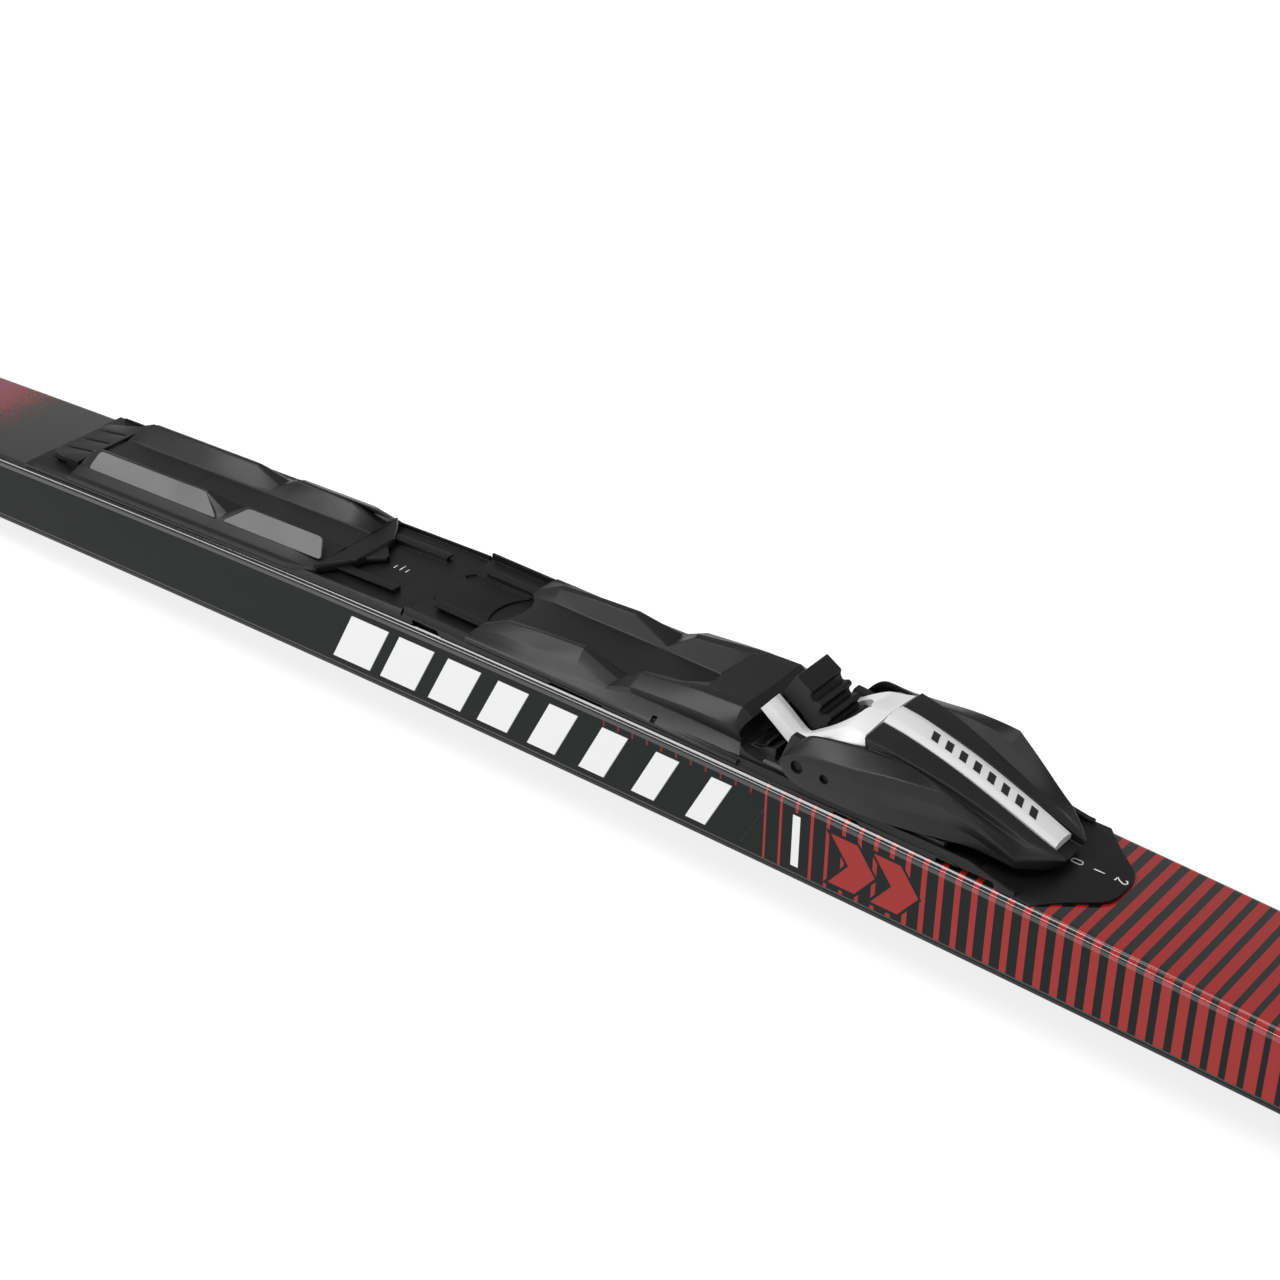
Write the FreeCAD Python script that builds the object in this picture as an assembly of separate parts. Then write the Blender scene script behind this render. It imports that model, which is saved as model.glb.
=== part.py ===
"""Cross-country ski with its boot binding, one STEP file per physical piece.

Frame: +X towards the tip, +Y left, +Z up. The origin is under the middle of the ski on the surface
that it stands on. Millimetres and degrees.

The binding is drawn in its own coordinates: u runs forward from the boot's toe bar, y is the row's
own, and h is the height above the ski's top under the toe bar. The heel unit sits on a plane that
tilts down to the rear with the ski's camber, so its pieces are drawn level and then tilted.
"""
import FreeCAD, Part
import math
import os

V = FreeCAD.Vector

# ---------------------------------------------------------------- driving dimensions: ski
LENGTH = 1870.0
HALF = LENGTH / 2
WAIST_HALF_WIDTH = 23.75
SIDECUT = 2.2            # how much narrower each side is at the tip than at the binding
CAMBER = 19.0            # height of the unloaded base under the toe bar
CAMBER_HALF_SPAN = 820.0
CREST_X = -50.0          # highest point of the base
THICK_X = -100.0         # thickest section
THICK_MAX = 28.5
THICK_TIP = 6.0
THICK_TAIL = 7.0
TIP_RISE = 36.0
TAIL_RISE = 5.0
NOSE_LENGTH = 95.0       # length of the pointed tip in plan
TAIL_CORNER = 9.0

SOLE_THICK = 1.4
LAMINATE_THICK = 0.8
CAP_DEPTH = 3.2          # how far the cap reaches down each side
CAP_SKIN = 0.8
CAP_CHAMFER = 1.2        # step that stands for the rounding of the cap's long edges
SIDEWALL_THICK = 3.0
GROOVE_HALF_WIDTH = 1.5
GROOVE_DEPTH = 0.7
TIP_GUARD_LENGTH = 62.0
TAIL_GUARD_LENGTH = 34.0

# ---------------------------------------------------------------- driving dimensions: binding
BAR_X = -59.0            # toe bar along the ski
TOP_Z = CAMBER + THICK_MAX
BAR_H = 10.7             # toe bar above the ski's top
BAR_SLOT_R = 4.0
POSITION_STEP = 7.0      # between positions 0, 1 and 2
TOOTH_U = 52.3           # rear face of the latch tooth

PLATE_HALF = 22.5
PLATE_H = 1.0            # flat under the toe unit
PLATE_REAR_U = -306.0
PLATE_NOSE_U = 112.0
PLATE_NOSE_H = -1.0
FLANGE_H = 3.2
FLANGE_TOP_Y = 20.6
TOE_HALF = 20.2          # half width of what slides between the flanges
BLOCK_U = -131.0         # where the toe section's flange ends
HEEL_PIVOT_U = -141.0    # start of the tilted heel plane
HEEL_SLOPE = math.degrees(math.atan(0.047))
RAIL_IN, RAIL_STEM, RAIL_OUT = 11.0, 13.0, 14.5
RAIL_HEAD = 0.7
RAIL_H = 1.7             # height of a rail above the plate
GAP = 0.3                # clearance between sliding pieces

PIVOT_U, PIVOT_H, PIVOT_R = 18.3, 10.1, 2.0
DETENT_U, DETENT_R = 27.6, 1.5
LEVER_HALF = 23.4
STRIP_HALF = 4.9
PIN_CLEARANCE = 0.05
CRANK_ARM, CRANK_R = 4.4, 1.0   # rod on the lever that draws the jaw forward as the lever opens
KNUCKLE_R = 20.2         # round front of the white frame, about the lever's pivot
BRIDGE_H = 9.4           # underside of the bridge over the latch's spring

NOSE_OUTLINE = [(95.0, 22.5), (100.0, 17.4), (103.0, 14.6), (109.4, 9.2), (111.2, 6.8), (112.0, 3.6)]


# ---------------------------------------------------------------- ski profile
def base_z(x):
    """Height of the running base: a camber arch between the contact points, then both rises."""
    front = CREST_X + CAMBER_HALF_SPAN
    rear = CREST_X - CAMBER_HALF_SPAN
    if x > front:
        return TIP_RISE * ((x - front) / (HALF - front)) ** 2
    if x < rear:
        return TAIL_RISE * ((rear - x) / (HALF + rear)) ** 2
    return CAMBER * (1 + math.cos(math.pi * (x - CREST_X) / CAMBER_HALF_SPAN)) / 2


def thickness(x):
    if x >= THICK_X:
        s = min(1.0, (x - THICK_X) / (HALF - THICK_X))
        return THICK_TIP + (THICK_MAX - THICK_TIP) * math.cos(math.pi / 2 * s) ** 2.4
    s = min(1.0, (THICK_X - x) / (HALF + THICK_X))
    return THICK_TAIL + (THICK_MAX - THICK_TAIL) * math.cos(math.pi / 2 * s)


def top_z(x):
    return base_z(x) + thickness(x)


def half_width(x):
    return WAIST_HALF_WIDTH - SIDECUT * ((x - CREST_X) / HALF) ** 2


def spread(x0, x1, step):
    """Evenly spaced values from x0 to x1, at most step apart."""
    count = max(1, int(math.ceil((x1 - x0) / step)))
    return [x0 + (x1 - x0) * i / count for i in range(count + 1)]


# Every layer bends at the same stations, so that the layers meet face to face.
STATIONS = (spread(-HALF, -780.0, 20.0)[:-1] + spread(-780.0, 740.0, 40.0)[:-1]
            + spread(740.0, HALF, 12.0))


def on_profile(height, x):
    """Height on the straight run between the stations on each side of x."""
    for left, right in zip(STATIONS, STATIONS[1:]):
        if x <= right:
            share = (x - left) / (right - left)
            return height(left) * (1 - share) + height(right) * share
    return height(STATIONS[-1])


def slab(low, high, x0=-HALF, x1=HALF, half=40.0):
    """Solid between two height functions from x0 to x1, extruded across the ski."""
    xs = [x0] + [x for x in STATIONS if x0 + 0.5 < x < x1 - 0.5] + [x1]
    bottom = [V(x, -half, on_profile(low, x)) for x in xs]
    top = [V(x, -half, on_profile(high, x)) for x in reversed(xs)]
    ring = bottom + top
    return Part.Face(Part.makePolygon(ring + ring[:1])).extrude(V(0, 2 * half, 0))


def plan_prism(inset=0.0, z0=-10.0, z1=90.0):
    """Prism of the ski's outline seen from above, with a pointed round nose and a blunt tail."""
    nose_x = HALF - NOSE_LENGTH
    tail_x = -HALF + inset
    tail_y = half_width(tail_x) - inset
    half = [V(tail_x, tail_y - TAIL_CORNER, z0),
            V(tail_x + TAIL_CORNER * 0.29, tail_y - TAIL_CORNER * 0.29, z0)]
    half += [V(x, half_width(x) - inset, z0) for x in spread(tail_x + TAIL_CORNER, nose_x, 130.0)]
    reach, width = HALF - inset - nose_x, half[-1].y
    for step in range(1, 14):
        turn = math.pi / 2 * step / 13
        half.append(V(nose_x + reach * math.sin(turn), width * max(0.0, math.cos(turn)) ** 0.85, z0))
    half[-1].y = 0
    ring = half + [V(p.x, -p.y, p.z) for p in reversed(half[:-1])]
    return Part.Face(Part.makePolygon(ring + ring[:1])).extrude(V(0, 0, z1 - z0))


# ---------------------------------------------------------------- binding helpers
def at(u, y, h):
    return V(BAR_X + u, y, TOP_Z + h)


def box(u0, u1, y0, y1, h0, h1):
    return Part.makeBox(u1 - u0, y1 - y0, h1 - h0, at(u0, y0, h0))


def both_sides(shape):
    """The shape with its mirror image across the middle of the ski."""
    return shape.fuse(shape.mirror(V(0, 0, 0), V(0, 1, 0)))


def side_prism(points, y0, y1):
    """Prism of a side outline of (u, h) points, from y0 to y1."""
    corners = [at(u, y0, h) for u, h in points]
    return Part.Face(Part.makePolygon(corners + corners[:1])).extrude(V(0, y1 - y0, 0))


def top_prism(points, h0, h1):
    """Prism of an outline seen from above, (u, y) points, from h0 to h1."""
    corners = [at(u, y, h0) for u, y in points]
    return Part.Face(Part.makePolygon(corners + corners[:1])).extrude(V(0, 0, h1 - h0))


def symmetric(points):
    """Right-hand outline points (u, y) followed by their mirror images."""
    return points + [(u, -y) for u, y in reversed(points)]


def cross_prism(points, u0, u1):
    """Prism of a cross-section of (y, h) points, from u0 to u1."""
    corners = [at(u0, y, h) for y, h in points]
    return Part.Face(Part.makePolygon(corners + corners[:1])).extrude(V(u1 - u0, 0, 0))


def loft(sections):
    """Ruled solid through cross-sections: a list of (u, half-section points from the middle out)."""
    wires = []
    for u, half in sections:
        ring = [at(u, y, h) for y, h in half] + [at(u, -y, h) for y, h in reversed(half)]
        wires.append(Part.makePolygon(ring + ring[:1]))
    return Part.makeLoft(wires, True, True)


def rod(u, h, radius, y0, y1):
    return Part.makeCylinder(radius, y1 - y0, at(u, y0, h), V(0, 1, 0))


def disc(u, radius, h0, h1):
    return Part.makeCylinder(radius, h1 - h0, at(u, 0, h0), V(0, 0, 1))


def spring(length, radius, wire_r, turns):
    """Compression spring standing on the origin along Z."""
    pitch = (length - 2 * wire_r) / turns
    helix = Part.Wire(Part.makeHelix(pitch, pitch * turns, radius))
    wire_end = Part.Wire(Part.makeCircle(wire_r, V(radius, 0, 0), V(0, 1, 0)))
    wound = helix.makePipeShell([wire_end], True, True)
    wound.translate(V(0, 0, wire_r))
    return wound


def tilt(shape):
    """Turns a piece drawn level onto the heel plane."""
    turned = shape.copy()
    turned.rotate(at(HEEL_PIVOT_U, 0, 0), V(0, 1, 0), -HEEL_SLOPE)
    return turned


PARTS = {}


# ---------------------------------------------------------------- ski
def build_ski():
    full = plan_prism()
    inner = plan_prism(SIDEWALL_THICK)
    core_x0, core_x1 = -HALF + TAIL_GUARD_LENGTH, HALF - TIP_GUARD_LENGTH

    def above_base(offset):
        return lambda x: base_z(x) + offset

    def below_top(offset):
        return lambda x: top_z(x) - offset

    laminate_top = SOLE_THICK + LAMINATE_THICK
    sole = slab(base_z, above_base(SOLE_THICK)).common(full)
    groove = slab(above_base(-2), above_base(GROOVE_DEPTH), -HALF + 60, HALF - 190, GROOVE_HALF_WIDTH)
    PARTS["base_sole"] = sole.cut(groove)
    PARTS["lower_laminate"] = slab(above_base(SOLE_THICK), above_base(laminate_top)).common(full)

    cap = slab(below_top(CAP_DEPTH), below_top(CAP_CHAMFER)).common(full)
    crown = slab(below_top(CAP_CHAMFER), top_z).common(plan_prism(CAP_CHAMFER))
    tray = slab(below_top(CAP_DEPTH), below_top(CAP_SKIN + CAP_CHAMFER), core_x0, core_x1).common(inner)
    PARTS["cap"] = cap.fuse(crown).cut(tray)
    PARTS["upper_laminate"] = tray

    middle = slab(above_base(laminate_top), below_top(CAP_DEPTH), core_x0, core_x1).common(full)
    PARTS["core"] = middle.common(inner)
    walls = middle.cut(inner)
    PARTS["sidewall_left"] = walls.common(Part.makeBox(3000, 60, 120, V(-1500, 0, -10)))
    PARTS["sidewall_right"] = walls.common(Part.makeBox(3000, 60, 120, V(-1500, -60, -10)))
    PARTS["tip_guard"] = slab(above_base(laminate_top), below_top(CAP_DEPTH), core_x1, HALF).common(full)
    PARTS["tail_guard"] = slab(above_base(laminate_top), below_top(CAP_DEPTH), -HALF, core_x0).common(full)


# ---------------------------------------------------------------- mounting plate
def rail(u0, u1):
    """One undercut guide rail on the left side, drawn on a level plate top at PLATE_H."""
    low, high = PLATE_H, PLATE_H + RAIL_H
    points = [(RAIL_IN, low - 0.5), (RAIL_STEM, low - 0.5), (RAIL_STEM, high - RAIL_HEAD),
              (RAIL_OUT, high - RAIL_HEAD), (RAIL_OUT, high), (RAIL_IN, high)]
    return cross_prism(points, u0, u1)


def rail_channel(u0, u1, floor):
    """Room for a rail under a sliding piece whose underside is at floor."""
    top = PLATE_H + RAIL_H + GAP
    under = PLATE_H + RAIL_H - RAIL_HEAD - GAP
    points = [(RAIL_IN - GAP, floor - 1), (RAIL_STEM + GAP, floor - 1), (RAIL_STEM + GAP, under),
              (RAIL_OUT + GAP, under), (RAIL_OUT + GAP, top), (RAIL_IN - GAP, top)]
    return both_sides(cross_prism(points, u0, u1))


def flange(u0, u1, base, height):
    """One upstanding edge of the plate with a bevelled outer face."""
    points = [(FLANGE_TOP_Y - 0.1, base), (PLATE_HALF, base), (PLATE_HALF, base + 0.6),
              (FLANGE_TOP_Y + 0.8, height), (FLANGE_TOP_Y, height)]
    return cross_prism(points, u0, u1)


def notch(u0, u1, h0, h1):
    """Cut-out along the plate's lower edge with one slanted end."""
    return side_prism([(u0, h0), (u1 + 3, h0), (u1, h1), (u0, h1)], PLATE_HALF - 2.2, PLATE_HALF + 2)


def build_plate():
    heel_drop = math.tan(math.radians(HEEL_SLOPE))
    deep = -16.0
    level = side_prism([(BLOCK_U, deep), (76, deep), (76, PLATE_NOSE_H + 0.4), (70, PLATE_H),
                        (BLOCK_U, PLATE_H)], -PLATE_HALF, PLATE_HALF)
    nose_rear = (76.0, PLATE_HALF)
    nose = top_prism(symmetric([nose_rear] + NOSE_OUTLINE), deep, PLATE_NOSE_H)
    rear_h = (PLATE_REAR_U - HEEL_PIVOT_U) * heel_drop
    heel = side_prism([(PLATE_REAR_U, deep), (BLOCK_U, deep), (BLOCK_U, 0.0), (HEEL_PIVOT_U, 0.0),
                       (PLATE_REAR_U, rear_h)], -PLATE_HALF, PLATE_HALF)
    plate = level.fuse([nose, heel])

    plate = plate.fuse(both_sides(flange(BLOCK_U, 90, PLATE_NOSE_H - 0.5, FLANGE_H)))
    plate = plate.fuse(both_sides(rail(BLOCK_U + 6, 62)))
    heel_shift = V(0, 0, -PLATE_H)
    for piece in (rail(PLATE_REAR_U + 6, HEEL_PIVOT_U - 1), flange(PLATE_REAR_U + 4, BLOCK_U - 1, 0.2, 2.2)):
        moved = both_sides(piece)
        moved.translate(heel_shift)
        plate = plate.fuse(tilt(moved))

    ramp = side_prism([(70, FLANGE_H + 1), (100, FLANGE_H + 1), (100, PLATE_NOSE_H + 0.7),
                       (88, PLATE_NOSE_H + 1.2)], -PLATE_HALF - 1, PLATE_HALF + 1)
    plate = plate.cut(ramp)
    for u0, u1 in ((31, 39), (65, 83), (-72, -52), (-127, -117)):
        plate = plate.cut(both_sides(notch(u0, u1, -4.0, 0.4)))
    pocket_h = PLATE_H
    plate = plate.cut(disc(-118, 15.0, pocket_h - 0.7, pocket_h + 0.1).common(
        box(-132.5, -95, -10.5, 10.5, -2, 3)))
    plate = plate.cut(disc(-96, 15.0, pocket_h - 1.4, pocket_h + 0.1).common(
        box(-112, -95, -10.5, 10.5, -2, 3)))
    for position in range(3):
        u = TOOTH_U - 0.5 + position * POSITION_STEP
        plate = plate.cut(box(u, u + 3.4, -4, 4, PLATE_H - 1.5, PLATE_H + 0.1))
    bed = slab(lambda x: -20.0, top_z, BAR_X + PLATE_REAR_U - 20, BAR_X + PLATE_NOSE_U + 20)
    PARTS["mounting_plate"] = plate.cut(bed).removeSplitter()


# ---------------------------------------------------------------- toe unit
def ridge_half(crest, outer, floor, crest_y=13.8):
    """Half a cross-section of the boot guide, from the middle of its valley to its underside."""
    side = min(crest - 0.4, outer)
    return [(0, floor), (8.8, floor), (crest_y - 2.4, crest), (crest_y + 0.6, crest),
            (19.4, side), (18.0, min(5.0, side - 0.2)), (TOE_HALF, 2.6),
            (TOE_HALF, PLATE_H + GAP), (0, PLATE_H + GAP)]


def build_boot_guide():
    guide = loft([(-105.5, ridge_half(4.4, 3.8, 3.6)), (-96, ridge_half(8.2, 4.4, 4.2)),
                  (-66, ridge_half(10.7, 5.2, 4.5)), (-53, ridge_half(6.0, 5.4, 4.5)),
                  (-44, ridge_half(11.2, 8.2, 4.6)), (-31, ridge_half(13.5, 9.2, 4.7)),
                  (-22, ridge_half(14.8, 10.0, 14.7)), (-7, ridge_half(15.7, 10.8, 15.5)),
                  (-2.5, ridge_half(12.4, 10.8, 12.0))])
    guide = guide.cut(disc(-112, 12.0, -2, 20))
    guide = guide.cut(rail_channel(-110, 0, PLATE_H))
    guide = guide.cut(rod(0, BAR_H, BAR_SLOT_R, -30, 30))
    guide = guide.cut(both_sides(box(-34.2, -32.4, 17.0, 22.0, 2.4, 4.0)))
    hollow = loft([(-94, [(0, 2.9), (7.0, 2.9), (7.0, 1.2), (0, 1.2)]),
                   (-30, [(0, 3.2), (7.0, 3.2), (7.0, 1.2), (0, 1.2)])])
    chamber = box(-24, -9, -9.5, 9.5, 1.2, 12.5)
    PARTS["boot_guide"] = guide.cut(hollow).cut(chamber).removeSplitter()


def build_toe_chassis():
    low = PLATE_H + GAP
    floor = box(-2.4, 66, -TOE_HALF, TOE_HALF, low, 4.2)
    cheeks = both_sides(side_prism([(8, 4.0), (60, 4.0), (52, 6.5), (40, 13.0), (12, 15.0)], 14.6, 17.2))
    seat_block = side_prism([(-2.2, 4.0), (7.0, 4.0), (7.0, 8.0), (-2.2, 6.0)], -17.2, 17.2)
    chassis = floor.fuse([cheeks, seat_block])
    chassis = chassis.cut(rail_channel(-3, 67, PLATE_H))
    chassis = chassis.cut(box(10, 50, -6.4, 6.4, 3.0, 5))
    chassis = chassis.cut(box(-3, 12, -8.4, 8.4, 4.8, 20))
    chassis = chassis.cut(rod(0, BAR_H, BAR_SLOT_R + 0.8, -30, 30))
    chassis = chassis.cut(rod(PIVOT_U, PIVOT_H, PIVOT_R, -30, 30))
    chassis = chassis.cut(box(PIVOT_U - 1.4, PIVOT_U + 5.0, -30, 30, 4.2, 9.4 - 0.2))
    latch_well = box(TOOTH_U - 0.3, 61.0, -4.4, 4.4, 0, 6)
    chassis = chassis.cut(latch_well)
    chassis = chassis.fuse(both_sides(box(TOOTH_U, 61.0, 4.4, 6.0, 4.0, BRIDGE_H)))
    PARTS["toe_chassis"] = chassis.removeSplitter()
    liner = rod(0, BAR_H, BAR_SLOT_R + 0.8, -16.8, 16.8).cut(rod(0, BAR_H, BAR_SLOT_R, -20, 20))
    liner = liner.common(box(-0.6, 4.6, -20, 20, 4, BAR_H - 1.6)).cut(box(-6, 6, -8.4, 8.4, 0, 20))
    PARTS["bar_seat"] = liner


def build_toe_frame():
    """White saddle that holds the flexor: rear horns over the bar, a waist, and a stem forward."""
    side = [(8.5, 8.4), (12.5, 8.4), (36, 14.0), (39, 17.0), (36, 22.6), (30, 21.8), (15.5, 12.0),
            (11.5, 12.0), (3.6, 19.6), (-0.6, 16.8), (3.4, 13.8)]
    arms = both_sides(side_prism(side, 8.2, 14.3))
    stem = side_prism([(24.0, 10.5), (36, 14.0), (39.4, 17.0), (38.0, 23.2), (30, 22.8), (24.0, 17.5)],
                      -8.3, 8.3)
    frame = arms.fuse(stem)
    frame = frame.cut(rod(0, BAR_H, BAR_SLOT_R, -30, 30))
    frame = frame.cut(rod(PIVOT_U, PIVOT_H, PIVOT_R + 0.3, -30, 30))
    beyond = box(PIVOT_U, 60, -30, 30, 0, 40).cut(rod(PIVOT_U, PIVOT_H, KNUCKLE_R, -30, 30))
    PARTS["toe_frame"] = frame.cut(beyond).removeSplitter()


def build_flexor():
    """Rubber block that the boot's toe bends against, with ribs down its front."""
    rear_top, front_top = (5.9, 27.9), (11.0, 24.7)
    outline = [(13.0, 10.0), (11.0, 14.0), (8.0, 16.6), (1.6, 19.4), rear_top, front_top]
    ribs, step_u, step_h = 4, 3.0, -3.1
    u, h = front_top[0] - 1.4, front_top[1] - 0.9
    for _ in range(ribs):
        outline += [(u + 0.6, h - 0.8), (u + 2.6, h - 1.0), (u + 3.2, h - 2.0)]
        u, h = u + step_u, h + step_h
    outline += [(23.6, 11.2), (14.0, 10.0)]
    PARTS["flexor"] = side_prism(outline, -8.0, 8.0)


def build_jaw():
    """Steel hook that comes down over the toe bar, with the spring that pushes it shut."""
    arm = side_prism([(4.4, 4.9), (34, 4.9), (34, 7.6), (21.6, 7.6), (21.6, 9.4), (15.4, 9.4),
                      (12.0, 7.6), (7.4, 9.2), (6.4, 13.4), (2.2, 15.8), (0.8, 15.0), (3.9, 12.6),
                      (4.9, 10.0)], -7.8, 7.8)
    arm = arm.cut(rod(0, BAR_H, BAR_SLOT_R + 0.1, -30, 30))
    crank_slot = box(PIVOT_U - CRANK_R - 0.3, PIVOT_U + CRANK_R + 0.7, -9, 9, 4, 9.0)
    PARTS["jaw"] = arm.cut(crank_slot)
    jaw_spring = spring(14.8, 2.2, 0.45, 8)
    jaw_spring.rotate(V(0, 0, 0), V(0, 1, 0), 90)
    jaw_spring.translate(at(34.2, 0, 6.9))
    PARTS["jaw_spring"] = jaw_spring
    PARTS["spring_stop"] = side_prism([(49.2, 4.2), (51.6, 4.2), (51.6, 9.6), (49.2, 9.6)], -6.0, 6.0)
    PARTS["jaw_crank"] = rod(PIVOT_U, PIVOT_H - CRANK_ARM, CRANK_R, -22.0, 22.0)


# ---------------------------------------------------------------- lever
def lever_section(top, panel_y, panel_h, crest_y, crest_h, low_y, low_h):
    """Half a cross-section of the lever's shell: crown, side panel, wing crest and lower edge."""
    scoop_y = (panel_y + crest_y) / 2
    return [(0, top), (STRIP_HALF + 0.6, top), (panel_y, panel_h),
            (scoop_y, min(panel_h, crest_h) - 0.6), (crest_y, crest_h), (low_y, low_h), (0, low_h)]


def build_lever():
    shell = loft([(32.0, lever_section(23.8, 13.6, 23.0, 19.6, 19.9, 21.6, 15.0)),
                  (36.0, lever_section(23.0, 14.4, 22.2, 20.6, 18.9, 22.0, 13.5)),
                  (48.0, lever_section(20.8, 13.8, 20.4, 21.6, 18.9, 22.4, 8.5)),
                  (56.0, lever_section(18.8, 12.6, 18.2, 20.9, 19.8, 22.0, 7.2)),
                  (64.0, lever_section(16.3, 11.6, 15.6, 20.0, 20.2, 20.6, 6.0)),
                  (73.0, lever_section(13.1, 11.4, 12.0, 18.3, 14.5, 18.4, 4.6)),
                  (80.0, lever_section(10.5, 11.2, 9.0, 16.8, 9.8, 16.9, 3.4)),
                  (86.0, lever_section(8.1, 10.8, 6.8, 15.6, 6.0, 15.8, 2.2)),
                  (96.0, lever_section(4.9, 5.7, 4.7, 6.0, 4.6, 6.1, 1.3))])
    arms = both_sides(side_prism([(13.5, 7.0), (18.3, 5.0), (40, 5.0), (56, 6.4), (54, 16.5),
                                  (36, 18.4), (23.5, 17.8), (15.0, 13.6)], 19.0, LEVER_HALF - 1.6))
    cheeks = both_sides(side_prism([(13.2, 9.0), (18.3, 5.2), (42, 5.6), (56, 9.0), (40, 17.0),
                                    (24, 17.2), (14.6, 13.2)], LEVER_HALF - 1.7, LEVER_HALF))
    lever = shell.fuse([arms, cheeks])
    cavity = side_prism([(8, 1.0), (84, 1.0), (72, 6.8), (58, 12.6), (44, 16.8), (34, 19.6),
                         (8, 26.0)], -18.2, 18.2)
    knuckle = rod(PIVOT_U, PIVOT_H, KNUCKLE_R + 0.4, -18.2, 18.2)
    lever = lever.cut([cavity, knuckle])
    lever = lever.cut(rod(PIVOT_U, PIVOT_H, PIVOT_R + PIN_CLEARANCE, -30, 30))
    lever = lever.cut(rod(DETENT_U, PIVOT_H, DETENT_R, -30, 30))
    lever = lever.cut(rod(PIVOT_U, PIVOT_H - CRANK_ARM, CRANK_R, -22, 22))
    under = [(30, 21.6), (46, 18.9), (60, 15.0), (76, 9.4), (92.0, 3.9)]
    lever = lever.cut(side_prism(under + [(94.0, 3.3), (94.0, 12), (60, 24), (30, 32)],
                                 -STRIP_HALF, STRIP_HALF))
    PARTS["lever"] = lever.removeSplitter()
    strip = side_prism(under + [(93.0, 6.2), (86, 8.8), (76, 12.8), (62, 17.9), (48, 21.6),
                                (30, 24.8)], -STRIP_HALF, STRIP_HALF)
    PARTS["lever_strip"] = strip.cut(knuckle)
    PARTS["lever_pivot_pins"] = both_sides(rod(PIVOT_U, PIVOT_H, PIVOT_R, 8.5, 22.4))
    detent = both_sides(rod(DETENT_U, PIVOT_H, DETENT_R, 18.4, 22.4))
    PARTS["lever_detent_pins"] = detent


def build_position_latch():
    """Spring tongue that drops into the plate's notches and fixes the toe unit's position."""
    tongue = box(TOOTH_U, 60.7, -4.1, 4.1, 2.3, 3.6)
    tooth = box(TOOTH_U, TOOTH_U + 2.6, -3.4, 3.4, 1.1, 3.0)
    stud = Part.makeCylinder(1.2, 2.2, at(56.5, 0, 3.4), V(0, 0, 1))
    PARTS["position_latch"] = tongue.fuse([tooth, stud]).removeSplitter()
    latch_spring = spring(5.76, 2.0, 0.35, 3.5)
    latch_spring.translate(at(56.5, 0, 3.62))
    PARTS["latch_spring"] = latch_spring
    PARTS["latch_bridge"] = box(53.0, 60.0, -5.8, 5.8, BRIDGE_H, BRIDGE_H + 1.2)


# ---------------------------------------------------------------- heel unit
HEEL_FRONT, HEEL_REAR = -162.0, -284.0


def heel_half(crest, floor, crest_y=12.4):
    return [(0, floor), (5.6, floor), (crest_y - 1.0, crest), (crest_y, crest),
            (17.2, min(4.2, crest - 0.3)), (21.2, 2.4), (21.2, 2.0), (TOE_HALF, 2.0),
            (TOE_HALF, 0.3), (0, 0.3)]


def build_heel():
    floor = 4.0
    body = loft([(HEEL_REAR, heel_half(6.4, floor)), (-277, heel_half(9.6, floor)),
                 (-226, heel_half(9.9, floor)), (-217, heel_half(5.0, floor)),
                 (-208, heel_half(9.4, floor)), (-182, heel_half(8.6, floor)),
                 (-170, heel_half(4.6, 3.9))])
    nose = top_prism(symmetric([(-170, 20.0), (-167.0, 15.5), (HEEL_FRONT, 8.5)]), 0.3, 3.8)
    pointer = top_prism(symmetric([(HEEL_FRONT, 5.0), (-157.5, 1.0)]), 0.3, 2.4)
    body = body.fuse([nose, pointer])
    channel = rail_channel(-300, -150, PLATE_H)
    channel.translate(V(0, 0, -PLATE_H))
    body = body.cut(channel)
    tab_room = box(-300, -236, -5.2, 5.2, 0, 10)
    body = body.cut(tab_room)
    PARTS["heel_body"] = tilt(body.removeSplitter())


def pad_plate(u0, u1, slant):
    """One grip plate on the outer slope of the left ridge."""
    low = [(17.9, 4.5), (17.3, 3.7)]
    high = [(13.0, 9.8), (12.4, 9.0)]
    corners = [at(u0, *low[0]), at(u1, *low[0]), at(u1 - slant, *high[0]), at(u0 + slant, *high[0])]
    back = [at(u0, *low[1]), at(u1, *low[1]), at(u1 - slant, *high[1]), at(u0 + slant, *high[1])]
    front_wire = Part.makePolygon(corners + corners[:1])
    back_wire = Part.makePolygon(back + back[:1])
    return Part.makeLoft([front_wire, back_wire], True, True)


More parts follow.
